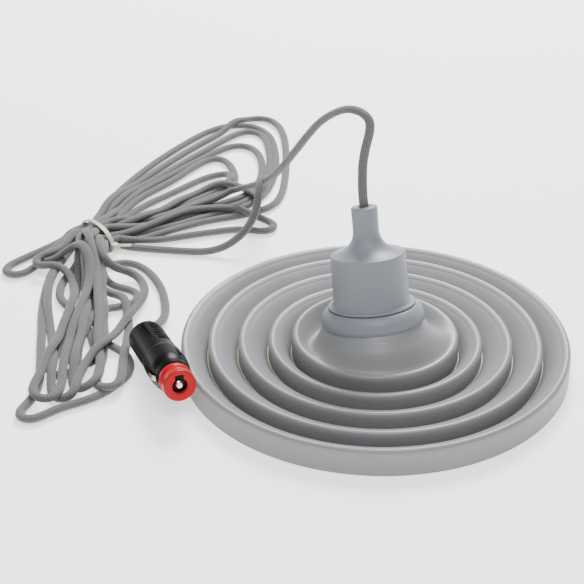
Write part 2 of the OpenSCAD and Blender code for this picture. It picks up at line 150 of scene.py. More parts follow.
# A loop beyond the tie first has the two places where it leaves the tie and comes back to it: the
# column across the tie, from the upper left, and the layer.
FAR_LOOPS = [
    ((5, 0), (0, 0), 3.5,
     [(-165, 160), (-130, 188), (-105, 203), (-90, 230), (-86, 275), (-93, 330), (-107, 354),
      (-125, 358), (-145, 346), (-167, 312), (-190, 265), (-207, 215)]),
    ((0.5, 1), (6, 0), 4,
     [(-198, 225), (-168, 288), (-140, 335), (-120, 366), (-104, 375), (-89, 360), (-80, 320),
      (-76, 255), (-80, 213), (-100, 193), (-135, 177), (-168, 150)]),
    ((2.5, 1), (3, 0), 2,
     [(-185, 195), (-160, 228), (-140, 253), (-125, 262), (-116, 250), (-122, 234), (-145, 212),
      (-175, 178)]),
    ((4.25, 2), (1, 0), 3,
     [(-170, 163), (-135, 193), (-108, 208), (-94, 235), (-89, 280), (-96, 328), (-108, 346),
      (-122, 341), (-145, 306), (-175, 256), (-200, 210)]),
    ((1.5, 1), (4.5, 1), 0,
     [(-195, 213), (-168, 256), (-142, 295), (-122, 317), (-106, 311), (-97, 285), (-96, 250),
      (-106, 223), (-130, 203), (-168, 170)]),
    ((6.5, 1), (5.5, 1), 5,
     [(-170, 143), (-145, 154), (-105, 168), (-77, 176, 10, 10), (-110, 194), (-140, 189),
      (-168, 162)]),
    ((2, 0), (4, 0), 1,
     [(-190, 207), (-165, 247), (-147, 280), (-133, 292), (-121, 275), (-117, 247), (-127, 224),
      (-150, 200), (-180, 170)]),
    ((3.5, 1), (7, 0), 7,
     [(-180, 165), (-158, 198), (-140, 224), (-120, 234), (-100, 221), (-87, 192), (-84, 162),
      (-95, 139), (-120, 131), (-168, 133)])]
# Where the riser goes through the tie, as column and layer
RISER_SLOT = (3.25, 2)
MIDDLE_COLUMN = 3.5
SLOT_PITCH = 5.05
SLOT_Z = (3.9, 8.7, 13.3)
SLOT_HALF = 7
RISER_PLACE = 6
TAIL_PLACE = 0.5
# How much higher each place in the pile starts
PLACE_RISE = 0.9
# Height in the pile that each layer of the tie counts as
LAYER_PLACES = (0.2, 3.2, 6.2)

LOOSE, HELD, IN_TIE = range(3)
BEAD_STEP = 4.0
# Strands closer than this push each other apart
APART = 5.2
LOWEST = CORD_WIDE / 2 + 0.1
# A bead looks for its place in the pile within this share of the cord's length
LOOK_AHEAD = 0.03
PLACES_AVERAGED = 9
# Beads this few steps apart along the cord never count as crossing
SAME_STRAND = 5
CROSSING_MARGIN = 2
SETTLE_TURNS = 260
TURNS_PER_SEARCH = 6
# How far a bead moves in one turn, as shares of its overlap, its way home and its bend
LIFT_SHARE = 0.35
SINK_SHARE = 0.12
NUDGE_SHARE = 0.03
HOME_SHARE = 0.004
STRAIGHTEN_SHARE = 0.3
# The most that it is pushed sideways and the distance that it sinks in one turn
LONGEST_NUDGE = 0.25
FALL = 0.06


def slot_points(slot, outwards):
    """Points of one straight pass through the tie, towards the far loops if outwards."""
    column, layer = slot
    ends = (-SLOT_HALF, 0, SLOT_HALF) if outwards else (SLOT_HALF, 0, -SLOT_HALF)
    side = (MIDDLE_COLUMN - column) * SLOT_PITCH
    return [tuple(tie_matrix() @ Vector((x, side, SLOT_Z[layer]))) for x in ends]


def loop_points(spots):
    """Points in plan along one loop, with each fold drawn as a half circle."""
    points = []
    for spot in spots:
        if len(spot) == 2:
            points.append(spot)
            continue
        tip = np.array(spot[:2], float)
        heading, radius = math.radians(spot[2]), spot[3]
        ahead = np.array([math.cos(heading), math.sin(heading)])
        left = np.array([-ahead[1], ahead[0]])
        centre = tip - abs(radius) * ahead
        for degrees in (-90, -45, 0, 45, 90):
            a = math.radians(degrees)
            points.append(tuple(centre + abs(radius) * math.cos(a) * ahead + radius * math.sin(a) * left))
    return points


def cord_route():
    """Rows of x, y, z, place in the pile and how the point is held, from the neck to the plug."""
    rows = [(*p, RISER_PLACE, HELD) for p in RISER]
    rows += [(*p, RISER_PLACE, LOOSE) for p in RISER_END]

    def through_tie(slot, outwards):
        place = LAYER_PLACES[slot[1]]
        rows.extend((*p, place, IN_TIE) for p in slot_points(slot, outwards))

    def loop(place, spots):
        rows.extend((x, y, LOWEST + place * PLACE_RISE, place, LOOSE) for x, y in loop_points(spots))

    through_tie(RISER_SLOT, False)
    for near, (slot_out, slot_back, *far) in zip(NEAR_LOOPS, FAR_LOOPS):
        loop(*near)
        through_tie(slot_out, True)
        loop(*far)
        through_tie(slot_back, False)
    rows += [(*p, TAIL_PLACE, HELD) for p in TAIL]
    return np.array(rows)


def catmull_rom(points, parts):
    """A smooth curve through the given points, with so many parts between each two."""
    p = np.array(points, float)
    p = np.vstack([2 * p[0] - p[1], p, 2 * p[-1] - p[-2]])
    fine = []
    for i in range(1, len(p) - 2):
        for t in np.linspace(0, 1, parts, endpoint=False):
            fine.append(0.5 * (2 * p[i] + (p[i + 1] - p[i - 1]) * t
                        + (2 * p[i - 1] - 5 * p[i] + 4 * p[i + 1] - p[i + 2]) * t ** 2
                        + (3 * p[i] - p[i - 1] - 3 * p[i + 1] + p[i + 2]) * t ** 3))
    fine.append(p[-2])
    return np.array(fine)


def smooth_line(points, step):
    """Evenly spaced points on a smooth curve through the given ones."""
    return even_steps(catmull_rom(points, 24), step)


def even_steps(points, step):
    """The same line with evenly spaced points."""
    lengths = np.concatenate([[0], np.cumsum(np.linalg.norm(np.diff(points, axis=0), axis=1))])
    count = max(2, int(round(lengths[-1] / step)) + 1)
    wanted = np.linspace(0, lengths[-1], count)
    return np.stack([np.interp(wanted, lengths, points[:, k]) for k in range(3)], 1)


def eased(values, times, free=None):
    """Values averaged with their neighbours along the cord, where free."""
    values = values.copy()
    for _ in range(times):
        middle = 0.25 * values[:-2] + 0.5 * values[1:-1] + 0.25 * values[2:]
        values[1:-1] = middle if free is None else np.where(free[1:-1, None], middle, values[1:-1])
    return values


def bead_places(line, rows):
    """Each bead's place in the pile, and True where it is free to move."""
    points = rows[:, :3]
    reach = np.concatenate([[0], np.cumsum(np.linalg.norm(np.diff(points, axis=0), axis=1))])
    ahead = np.abs(np.linspace(0, 1, len(line))[:, None] - reach[None] / reach[-1])
    away = np.linalg.norm(line[:, None] - points[None], axis=2)
    away[ahead > LOOK_AHEAD] = np.inf
    nearest = away.argmin(1)
    padded = np.pad(rows[nearest, 3], PLACES_AVERAGED // 2, mode="edge")
    places = np.convolve(padded, np.ones(PLACES_AVERAGED) / PLACES_AVERAGED, "valid")
    held = rows[nearest, 4]
    return places, ~((held == HELD) | ((held == IN_TIE) & (away.min(1) < BEAD_STEP * 0.6)))


def crossing_beads(line, places):
    """Pairs of beads that are close in plan: the lower of each pair, then the upper."""
    across = line[:, None, 0] - line[None, :, 0]
    up = line[:, None, 1] - line[None, :, 1]
    index = np.arange(len(line))
    close = across ** 2 + up ** 2 < (APART + CROSSING_MARGIN) ** 2
    a, b = np.where(close & (index[None] - index[:, None] > SAME_STRAND))
    swap = places[a] > places[b]
    return np.where(swap, b, a), np.where(swap, a, b)


def settle(rows):
    """Lays the strands on each other and on the table, as beads on a thread."""
    line = smooth_line(rows[:, :3], BEAD_STEP)
    places, free = bead_places(line, rows)
    line = eased(line, 3, free)
    home = line.copy()
    count = len(line)
    for turn in range(SETTLE_TURNS):
        if turn % TURNS_PER_SEARCH == 0:
            low, high = crossing_beads(line, places)
        apart = line[high, :2] - line[low, :2]
        span = np.linalg.norm(apart, axis=1)
        overlap = np.sqrt(np.maximum(0, APART ** 2 - span ** 2)) - (line[high, 2] - line[low, 2])
        overlap = np.maximum(0, overlap)
        lift = np.zeros(count)
        sink = np.zeros(count)
        np.maximum.at(lift, high, overlap * LIFT_SHARE)
        np.maximum.at(sink, low, overlap * SINK_SHARE)
        push = np.zeros((count, 2))
        nudge = (np.minimum(overlap, 2) * NUDGE_SHARE / np.maximum(span, 0.3))[:, None] * apart
        np.add.at(push, high, nudge)
        np.add.at(push, low, -nudge)
        push = eased(np.clip(push, -LONGEST_NUDGE, LONGEST_NUDGE), 6)
        line[free, :2] += push[free] + HOME_SHARE * (home[free, :2] - line[free, :2])
        z = np.maximum(LOWEST, line[:, 2] + eased(lift, 2) - eased(sink, 2) - FALL)
        z[1:-1] += STRAIGHTEN_SHARE * (0.5 * (z[:-2] + z[2:]) - z[1:-1])
        line[free, 2] = np.maximum(LOWEST, z[free])
    return eased(line, 3, free)


def tube(name, line, wide, flat, sides, first_side):
    """Oval tube along a line of points in millimetres; its UVs are metres along and turns round."""
    ahead = np.gradient(line, axis=0)
    ahead /= np.linalg.norm(ahead, axis=1)[:, None]
    along = np.concatenate([[0], np.cumsum(np.linalg.norm(np.diff(line, axis=0), axis=1))])
    side = Vector(first_side)
    verts = []
    for i, p in enumerate(line):
        t = Vector(ahead[i])
        level = t.cross(Vector((0, 0, 1)))
        side = (side - side.dot(t) * t).normalized()
        if level.length > 0.35:
            level.normalize()
            level *= 1 if level.dot(side) > 0 else -1
            side = (side + 0.04 * level).normalized()
        other = t.cross(side)
        for j in range(sides):
            a = 2 * math.pi * j / sides
            out = wide / 2 * math.cos(a) * side + flat / 2 * math.sin(a) * other
            verts.append((Vector(p) + out) * MM)
    faces = []
    for i in range(len(line) - 1):
        for j in range(sides):
            k = (j + 1) % sides
            faces.append((i * sides + j, i * sides + k, (i + 1) * sides + k, (i + 1) * sides + j))
    last = (len(line) - 1) * sides
    faces.append(tuple(reversed(range(sides))))
    faces.append(tuple(range(last, last + sides)))
    piece = mesh_piece(name, verts, faces)
    layer = piece.data.uv_layers.new(name="along")
    for poly in piece.data.polygons:
        for loop in poly.loop_indices:
            vertex = piece.data.loops[loop].vertex_index
            ring, turn = divmod(vertex, sides)
            if turn == 0 and any(piece.data.loops[n].vertex_index % sides == sides - 1
                                 for n in poly.loop_indices):
                turn = sides
            layer.data[loop].uv = (turn / sides, along[ring] * MM)
    return piece


def mesh_piece(name, verts, faces):
    mesh = bpy.data.meshes.new(name)
    mesh.from_pydata([tuple(v) for v in verts], [], faces)
    mesh.validate()
    bm = bmesh.new()
    bm.from_mesh(mesh)
    bmesh.ops.recalc_face_normals(bm, faces=bm.faces)
    bm.to_mesh(mesh)
    bm.free()
    piece = bpy.data.objects.new(name, mesh)
    bpy.context.scene.collection.objects.link(piece)
    mesh.shade_smooth()
    return piece


def ring_faces(sides, n):
    """Faces between rings of n points each, the last ring joined to the first."""
    faces = []
    for j in range(sides):
        k = (j + 1) % sides
        for i in range(n):
            m = (i + 1) % n
            faces.append((j * n + i, j * n + m, k * n + m, k * n + i))
    return faces


def make_cord():
    line = settle(cord_route())
    inside_neck = np.array(head_matrix() @ Vector((0, 0, 70)))
    inside_plug = np.array(plug_matrix() @ Vector((0, 0, 2)))
    line = smooth_line(np.vstack([inside_neck, line, inside_plug]), TUBE_STEP)
    piece = tube("cord", line, CORD_WIDE, CORD_FLAT, TUBE_SIDES, (0.89, 0.46, 0))
    length = np.linalg.norm(np.diff(line, axis=0), axis=1).sum() * MM
    return piece, line, length


cord, cord_line, cord_length = make_cord()

# ---- Materials ----


def new_material(name):
    material = bpy.data.materials.new(name)
    material.use_nodes = True
    nodes = material.node_tree.nodes
    links = material.node_tree.links
    return material, nodes, links, nodes["Principled BSDF"]


def add(nodes, kind, **values):
    node = nodes.new(kind)
    for key, value in values.items():
        if hasattr(node, key):
            setattr(node, key, value)
        else:
            node.inputs[key.replace("_", " ")].default_value = value
    return node


def shift_colour(nodes, links, bsdf, source, low, high):
    """Colours a surface between two colours as source goes from 0 to 1."""
    ramp = nodes.new("ShaderNodeValToRGB")
    ramp.color_ramp.elements[0].position = 0.3
    ramp.color_ramp.elements[1].position = 0.7
    ramp.color_ramp.elements[0].color = (*low, 1)
    ramp.color_ramp.elements[1].color = (*high, 1)
    links.new(source, ramp.inputs["Fac"])
    links.new(ramp.outputs["Color"], bsdf.inputs["Base Color"])


def bump(nodes, links, bsdf, source, strength, distance):
    node = add(nodes, "ShaderNodeBump", Strength=strength, Distance=distance)
    links.new(source, node.inputs["Height"])
    links.new(node.outputs["Normal"], bsdf.inputs["Normal"])


def object_noise(nodes, links, scale, detail=4.0):
    where = nodes.new("ShaderNodeTexCoord")
    noise = add(nodes, "ShaderNodeTexNoise", Scale=scale, Detail=detail)
    links.new(where.outputs["Object"], noise.inputs["Vector"])
    return noise.outputs["Fac"]


def moulded(name, colour, spread, roughness, grain=900.0, depth=0.00003, coat=0.0, metal=0.0,
            subsurface=0.0, shine=0.5):
    """Moulded or plain metal surface: slight colour drift, uneven gloss and a fine grain."""
    material, nodes, links, bsdf = new_material(name)
    drift = object_noise(nodes, links, 22.0)
    low = tuple(c * (1 - spread) for c in colour)
    high = tuple(min(1, c * (1 + spread)) for c in colour)
    shift_colour(nodes, links, bsdf, drift, low, high)
    gloss = add(nodes, "ShaderNodeMapRange", To_Min=roughness * 0.88, To_Max=roughness * 1.12)
    links.new(object_noise(nodes, links, 60.0), gloss.inputs["Value"])
    links.new(gloss.outputs["Result"], bsdf.inputs["Roughness"])
    bump(nodes, links, bsdf, object_noise(nodes, links, grain, 2.0), 0.35, depth)
    bsdf.inputs["Metallic"].default_value = metal
    bsdf.inputs["Specular IOR Level"].default_value = shine
    bsdf.inputs["Coat Weight"].default_value = coat
    bsdf.inputs["Coat Roughness"].default_value = 0.25
    if subsurface:
        bsdf.inputs["Subsurface Weight"].default_value = subsurface
        bsdf.inputs["Subsurface Radius"].default_value = (0.004, 0.0042, 0.0045)
    return material


BUNDLES_ROUND = 8
BUNDLES_PER_METRE = 420
# Braid colours for the weave's hollows and its ridges: painted shade and painted light
BRAID_SHADED = (0.065, 0.069, 0.069)
BRAID_LIT = (0.135, 0.139, 0.139)


def braided(name):
    """Textile braid: bundles of thread that cross as they wind round the cord, with painted shade in the
    hollows between them and painted light on their tops.
    """
    material, nodes, links, bsdf = new_material(name)
    uv = nodes.new("ShaderNodeUVMap")
    uv.uv_map = "along"
    parts = nodes.new("ShaderNodeSeparateXYZ")
    links.new(uv.outputs["UV"], parts.inputs["Vector"])
    turns = add(nodes, "ShaderNodeMath", operation="MULTIPLY")
    turns.inputs[1].default_value = 2 * math.pi * BUNDLES_ROUND
    links.new(parts.outputs["X"], turns.inputs[0])
    run = add(nodes, "ShaderNodeMath", operation="MULTIPLY")
    run.inputs[1].default_value = 2 * math.pi * BUNDLES_PER_METRE
    links.new(parts.outputs["Y"], run.inputs[0])
    waves = []
    for kind in ("ADD", "SUBTRACT"):
        phase = add(nodes, "ShaderNodeMath", operation=kind)
        links.new(turns.outputs[0], phase.inputs[0])
        links.new(run.outputs[0], phase.inputs[1])
        wave = add(nodes, "ShaderNodeMath", operation="SINE")
        links.new(phase.outputs[0], wave.inputs[0])
        waves.append(wave)
    weave = add(nodes, "ShaderNodeMath", operation="MULTIPLY")
    links.new(waves[0].outputs[0], weave.inputs[0])
    links.new(waves[1].outputs[0], weave.inputs[1])
    weave_01 = add(nodes, "ShaderNodeMapRange", From_Min=-1.0)
    links.new(weave.outputs[0], weave_01.inputs["Value"])
    height = weave_01.outputs["Result"]
    # The weave's height also sets its colour: painted shade where it is low, painted light where it is
    # high
    shift_colour(nodes, links, bsdf, height, BRAID_SHADED, BRAID_LIT)
    bump(nodes, links, bsdf, height, 0.9, 0.00025)
    bsdf.inputs["Roughness"].default_value = 0.82
    bsdf.inputs["Sheen Weight"].default_value = 0.25
    bsdf.inputs["Sheen Roughness"].default_value = 0.5
    return material


SILICONE = moulded("silicone", (0.21, 0.213, 0.221), 0.03, 0.4, grain=1400, depth=0.00002)
SILICONE_COOL = moulded("silicone_cool", (0.19, 0.212, 0.24), 0.03, 0.44, grain=1400, depth=0.00002)
# Warm pale colour of the fold lines: painted light, standing for light that shows through the thin
# silicone
FOLD_PAINTED_LIGHT = moulded("fold_painted_light", (0.85, 0.72, 0.52), 0.05, 0.5)
BLACK = moulded("black_plastic", (0.004, 0.004, 0.0045), 0.2, 0.34, grain=1200, depth=0.00003, shine=0.1)
RED = moulded("red_plastic", (0.43, 0.006, 0.009), 0.05, 0.3, shine=0.15)
NICKEL = moulded("nickel", (0.72, 0.71, 0.69), 0.05, 0.2, grain=2500, metal=1.0)
BRASS = moulded("brass", (0.72, 0.52, 0.23), 0.08, 0.3, grain=2500, metal=1.0)
WHITE = moulded("white_plastic", (0.78, 0.78, 0.76), 0.02, 0.4)
OPAL = moulded("opal", (0.85, 0.85, 0.82), 0.01, 0.25, coat=0.3, subsurface=0.4)
TIE = moulded("tie_nylon", (0.52, 0.49, 0.39), 0.04, 0.42, subsurface=0.1)
WIRE = moulded("wire_sleeve", (0.03, 0.03, 0.034), 0.1, 0.5)
BOARD = moulded("light_board", (0.7, 0.7, 0.7), 0.03, 0.35, metal=0.4)
PHOSPHOR = moulded("phosphor", (0.75, 0.6, 0.12), 0.06, 0.55)
FUSE = moulded("fuse_glass", (0.6, 0.66, 0.68), 0.03, 0.12, coat=0.5)
BRAID = braided("cord_braid")

CAD_MATERIALS = {
    "shade_nut": SILICONE_COOL, "holder_body": WHITE, "thread_shell": NICKEL, "holder_contact": BRASS,
    "terminal_block": WHITE, "terminal_screws": BRASS, "cord_grip": WHITE, "grip_screws": NICKEL,
    "lead_wires": WIRE, "bulb_cap": NICKEL, "bulb_insulator": BLACK, "bulb_tip": NICKEL,
    "bulb_housing": WHITE, "led_board": BOARD, "led_chips": PHOSPHOR, "plug_screw": NICKEL,
    "plug_barrel": BLACK, "plug_tip": NICKEL, "plug_fuse": FUSE, "plug_spring": NICKEL,
    "plug_leaf_left": NICKEL, "plug_leaf_right": NICKEL}


def dress(piece, material):
    piece.data.materials.clear()
    piece.data.materials.append(material)


def dress_cad():
    for name, material in CAD_MATERIALS.items():
        dress(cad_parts[name], material)


dress_cad()

dress(cord, BRAID)
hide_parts("cord_riser", "cord_loops_far", "cord_loops_near", "cord_tail")
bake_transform(cord)

# ---- Turned shapes ----


def arc(cx, cz, r, start, end, steps):
    """Points of an arc in a half section, angles in degrees."""
    angles = [math.radians(start + (end - start) * i / steps) for i in range(steps + 1)]
    return [(cx + r * math.cos(a), cz + r * math.sin(a)) for a in angles]


def curve(*controls, steps=10):
    """Points of a Bezier curve of any order in a half section."""
    points = []
    for i in range(steps + 1):
        t = i / steps
        level = [Vector(c) for c in controls]
        while len(level) > 1:
            level = [a.lerp(b, t) for a, b in zip(level, level[1:])]
        points.append(tuple(level[0]))
    return points


def turned(name, outline, matrix=None, sides=192, place=None):
    """Closed half section turned into a ring; place(r, z, a) may bend it out of round."""
    verts = []
    for j in range(sides):
        a = 2 * math.pi * j / sides
        for r, z in outline:
            p = place(r, z, a) if place else Vector((r * math.cos(a), r * math.sin(a), z))
            verts.append((matrix @ p if matrix else p) * MM)
    return mesh_piece(name, verts, ring_faces(sides, len(outline)))


def soft_edges(piece, degrees=40):
    piece.data.set_sharp_from_angle(angle=math.radians(degrees))


# ---- Shade ----


def crest_outline(r, base_z, top_z, foot):
    """Section of one stiff step, outside first, with its inner lip where the web starts."""
    out = r + CREST_ROUND
    outer = curve((out, top_z - 3.8), (out, top_z - 0.7), (r + 0.8, top_z - 0.12), steps=9)
    ridge = [(r + 0.35, top_z), (r - 0.15, top_z - 0.02), (r - 1.5, top_z - 0.4), (r - 3.1, top_z - 1.3)]
    inner = [(r - 3.0, top_z - 3.2), (r - 1.2, top_z - 4.2), (out - WALL, top_z - 6.6)]
    return ([(out + foot, base_z), (out + foot * 0.7, base_z + 1.5)] + outer + ridge + inner
            + [(out + foot - WALL, base_z + 0.6), (out + foot - WALL + 0.4, base_z)])


def make_step(k, body, node):
    base_z = 0 if k == 1 else FOLD_Z - 0.3
    foot = 0 if k == 1 else 0.3
    piece = turned(f"shade_step_{k}", crest_outline(CREST_R[k], base_z, CREST_Z, foot))
    soft_edges(piece, 50)
    dress(piece, SILICONE)
    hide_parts(node)
    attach(piece, body)


def make_web(k, node):
    """Thin fold between two steps, in its folded shape; on the lamp it turns inside out as the lower one
    rises.
    """
    top_r = CREST_R[k] - 3.0
    low_r = CREST_R[k + 1] + CREST_ROUND + 0.1
    top_z = CREST_Z - 1.45
    skin = curve((top_r, top_z), (top_r - 5, top_z - 2.1), (low_r + 2.6, top_z - 6.4),
                 (low_r, FOLD_Z + 0.2), steps=14)
    under = [(r - 0.5, z - 1.25) for r, z in reversed(skin)]
    piece = turned(f"shade_fold_{k}", skin + under)
    soft_edges(piece, 50)
    dress(piece, SILICONE)
    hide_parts(node)
    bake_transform(piece)


def make_fold_line(k, body):
    """Pale line where a web's thin edge meets the next step: painted light, shining through the thin
    silicone there.
    """
    r = CREST_R[k + 1] + CREST_ROUND + 0.75
    piece = turned(f"fold_line_{k}", arc(r, FOLD_Z + 0.8, 0.7, 0, 315, 7))
    dress(piece, FOLD_PAINTED_LIGHT)
    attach(piece, body)


def lean_point(r, z, a, lean_z, share):
    """Between upright at height z and the head's frame at height lean_z, by share."""
    flat = Vector((r * math.cos(a), r * math.sin(a), 0))
    upright = flat + Vector((0, 0, z))
    leaning = head_matrix() @ (flat + Vector((0, 0, lean_z)))
    return upright.lerp(leaning, share)


def dome_point(row, a):
    """A row of the dome's skin at angle a; behind and beside the collar it sinks into a hollow."""
    r, z, lean_z, share = row
    point = lean_point(r, z, a, lean_z, share)
    across = max(0.0, min(1.0, (r - COLLAR_R) / (CREST_R[5] - 1 - COLLAR_R)))
    behind = max(0.0, min(1.0, 0.62 + 0.9 * math.cos(a - LEAN_DIR)))
    point.z -= DOME_HOLLOW * math.sin(math.pi * across) ** 2 * behind * behind * (3 - 2 * behind)
    return point


def make_dome():
    """One skin from the inner fold line, over the inner crest, up to the leaning collar."""
    foot = CREST_R[5] + CREST_ROUND + 0.3
    top_z = DOME_CREST_Z
    rows = [(foot, FOLD_Z - 0.3, 0, 0), (foot, FOLD_Z + 0.6, 0, 0), (foot - 0.2, top_z - 7, 0, 0)]
    crest = CREST_R[5]
    out = crest + CREST_ROUND
    top = curve((out, top_z - 3.8), (out, top_z - 0.7), (crest + 0.8, top_z - 0.12), steps=9)
    rows += [(r, z, 0, 0) for r, z in top]
    rows += [(crest + 0.35, top_z, 0, 0), (crest - 0.2, top_z - 0.02, 0, 0)]
    # Radius, height if upright, height in the head's frame, and share of the head's lean
    controls = [
        (49.8, 20.5, -8.8, 0.03), (48, 20.0, -9, 0.15), (46, 19.9, -8.6, 0.29), (44, 19.5, -8, 0.45),
        (41, 18.8, -6.9, 0.68), (38, 18, -5.8, 0.87), (35.6, 10, -4.0, 0.97), (34, 0, -2.5, 1),
        (32.8, 0, -1.2, 1), (31.8, 0, 0.4, 1)]
    skin = [tuple(p) for p in smooth_rows(controls, 3)]
    outer = rows + skin
    inner = [(r - 1.6, z - 1.9, h - 1.6, s) for r, z, h, s in reversed(skin[:-1])]
    inner += [(CREST_R[5] - 0.6, top_z - 2.8, 0, 0), (CREST_R[5] + 0.2, top_z - 4.2, 0, 0),
              (foot - WALL, top_z - 8, 0, 0), (foot - WALL, FOLD_Z - 0.3, 0, 0)]
    outline = outer + inner
    lookup = {i: row for i, row in enumerate(outline)}
    piece = turned("shade_dome_skin", [(i, 0) for i in range(len(outline))],
                   place=lambda i, _, a: dome_point(lookup[i], a))
    soft_edges(piece, 50)
    dress(piece, SILICONE)
    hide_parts("shade_dome")
    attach(piece, "head")


def smooth_rows(rows, parts):
    """The given rows of the dome with smooth ones between; a share stays from 0 to 1."""
    fine = catmull_rom(rows, parts)
    fine[:, 3] = np.clip(fine[:, 3], 0, 1)
    return fine


COLLAR_R = 32.6
DOME_HOLLOW = 6.5
BODIES = {1: "base", 2: "ring_2", 3: "ring_3", 4: "ring_4", 5: "head"}
make_step(1, "base", "shade_rim")
for step_no in (2, 3, 4):
    make_step(step_no, BODIES[step_no], f"shade_ring_{step_no}")
for web_no in (1, 2, 3):
    make_web(web_no, f"shade_web_{web_no}")
make_web(4, "shade_web_4")
for line_no in (1, 2, 3, 4):
    make_fold_line(line_no, BODIES[line_no + 1])
make_dome()

# ---- Head ----

COLLAR_H = 11.6
FLANGE_R = 27.8
SLEEVE_R = 24.2
SHOULDER_H = 46.2
NECK_H = 76.3
NECK_R = 8.4


def make_collar():
    outline = ([(29.2, 0.1), (COLLAR_R - 1.2, 0.1)]
               + curve((COLLAR_R - 1.2, 0.1), (COLLAR_R + 0.1, 0.5), (COLLAR_R + 0.2, 4), steps=6)[1:]
               + curve((COLLAR_R + 0.2, 4), (COLLAR_R + 0.1, 9), (28.6, COLLAR_H), steps=12)[1:]
               + [(27, COLLAR_H + 0.05), (20.8, COLLAR_H), (20.6, COLLAR_H - 0.3), (20.6, 8), (29.2, 8)])
    piece = turned("shade_collar_ring", outline, head_matrix())
    soft_edges(piece)
    dress(piece, SILICONE_COOL)
    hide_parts("shade_collar")
    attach(piece, "head")


def make_sleeve():
    flange_z = COLLAR_H + 0.5
    flare_base = SLEEVE_R - 1.9
    bore = 3.3
    outline = ([(21.6, flange_z), (FLANGE_R - 0.7, flange_z)]
               + arc(FLANGE_R - 0.7, flange_z + 0.75, 0.75, -90, 90, 8)
               + curve((FLANGE_R - 1.4, flange_z + 1.5), (SLEEVE_R + 0.6, flange_z + 1.6),
                       (SLEEVE_R, flange_z + 3), steps=6)
               + [(SLEEVE_R - 0.3, SHOULDER_H - 14), (SLEEVE_R - 0.6, SHOULDER_H - 1.1)]
               + arc(flare_base + 0.4, SHOULDER_H - 0.9, 0.9, 0, 80, 6)
               + curve((flare_base - 0.6, SHOULDER_H + 0.25), (13.5, SHOULDER_H + 2.4),
                       (NECK_R + 0.6, SHOULDER_H + 6.5), (NECK_R - 0.15, SHOULDER_H + 14.5), steps=20)
               + [(NECK_R - 0.1, NECK_H - 8), (NECK_R, NECK_H - 1.5)]
               + arc(NECK_R - 1.3, NECK_H - 1.3, 1.3, 0, 90, 6)
               + [(bore + 0.5, NECK_H), (bore, NECK_H - 0.6), (bore, NECK_H - 8), (6.4, NECK_H - 10),
                  (6.4, 56), (12, 48.4), (21.6, 44.6)])
    piece = turned("holder_sleeve_skin", outline, head_matrix())
    soft_edges(piece)
    dress(piece, SILICONE_COOL)
    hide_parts("holder_sleeve")
    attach(piece, "head")


def make_globe():
    centre = -5.4
    outer = arc(0, centre, 20, -90, 8, 36)
    inner = [(r, z) for r, z in arc(0, centre, 18.8, 8, -90, 30)]
    outline = [(max(r, 0.01), z) for r, z in outer + inner]
    piece = turned("bulb_globe_skin", outline, head_matrix(), sides=96)
    dress(piece, OPAL)
    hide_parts("bulb_globe")
    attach(piece, "bulb")


make_collar()
make_sleeve()
make_globe()

# ---- Plug ----


def from_top(a):
    """The same angle, from minus half a turn to half a turn."""
    return a if a < math.pi else a - 2 * math.pi


def relief_turned(name, outline, relief, sides=240):
    """Turned shape whose outside is cut by relief(t, a) millimetres; a = 0 is the top."""
    matrix = plug_matrix()
    verts = []
    for j in range(sides):
        a = 2 * math.pi * j / sides
        for r, z, cut in outline:
            out = r - (relief(z, from_top(a)) if cut else 0)
            verts.append((matrix @ Vector((-out * math.cos(a), out * math.sin(a), z))) * MM)
    piece = mesh_piece(name, verts, ring_faces(sides, len(outline)))
    soft_edges(piece, 35)
    return piece


def step_between(x, low, high, soft):
    """1 between low and high, falling to 0 over soft outside them."""
    return max(0.0, min(1.0, (x - low) / soft + 0.5, (high - x) / soft + 0.5))


RIB_PITCH = 2.9
RIB_CUT = 1.0
GROOVE_CUT = 1.2
LOW_GROOVE_CUT = 1.0
REAR_NOTCH_CUT = 1.5
LEAF_SLOT_CUT = 3.95
LEAF_SLOT_HALF = 13.5
FRONT_NOTCH_CUT = 1.8
SIDE_NOTCH_CUT = 1.2


def rear_relief(t, a):
    """Depth of the thumb ribs, grooves and notch at distance t from the rear end."""
    degrees = math.degrees(a)
    patch = step_between(degrees, 4, 64, 2) * step_between(t, 4, 32, 0.6)
    rib = step_between(math.cos(2 * math.pi * t / RIB_PITCH), -0.1, 2, 0.5)
    groove = step_between(degrees, -24, -13, 2.5) * step_between(t, 5, 27, 0.8)
    low_groove = step_between(degrees, -110, -98, 2.5) * step_between(t, 5, 33, 0.8)
    notch = step_between(degrees, 38, 78, 2) * step_between(t, 35.9, 37.9, 0.5)
    grooves = GROOVE_CUT * groove + LOW_GROOVE_CUT * low_groove
    return RIB_CUT * patch * rib + grooves + REAR_NOTCH_CUT * notch


def front_relief(t, a):
    """Depth of the leaf contacts' slots and the notches at distance t from the rear end."""
    degrees = math.degrees(a)
    slots = sum(step_between(degrees, side - LEAF_SLOT_HALF, side + LEAF_SLOT_HALF, 1.2)
                for side in (-90, 90))
    slot = min(1, slots) * step_between(t, 48.8, 65.8, 0.5)
    notch = step_between(degrees, 32, 38, 1.4) * step_between(t, 50, 59, 2.5)
    side_notch = step_between(degrees, 36, 66, 1.4) * step_between(t, 56, 58.3, 0.8)
    return LEAF_SLOT_CUT * slot + FRONT_NOTCH_CUT * notch + SIDE_NOTCH_CUT * side_notch


def fine_rows(points, step, cut):
    """The outline's outside with a row every step, marked as cut or plain."""
    rows = []
    for (r0, z0), (r1, z1) in zip(points, points[1:]):
        parts = max(1, int(math.hypot(r1 - r0, z1 - z0) / step))
        rows += [(r0 + (r1 - r0) * i / parts, z0 + (z1 - z0) * i / parts, cut) for i in range(parts)]
    rows.append((*points[-1], cut))
    return rows


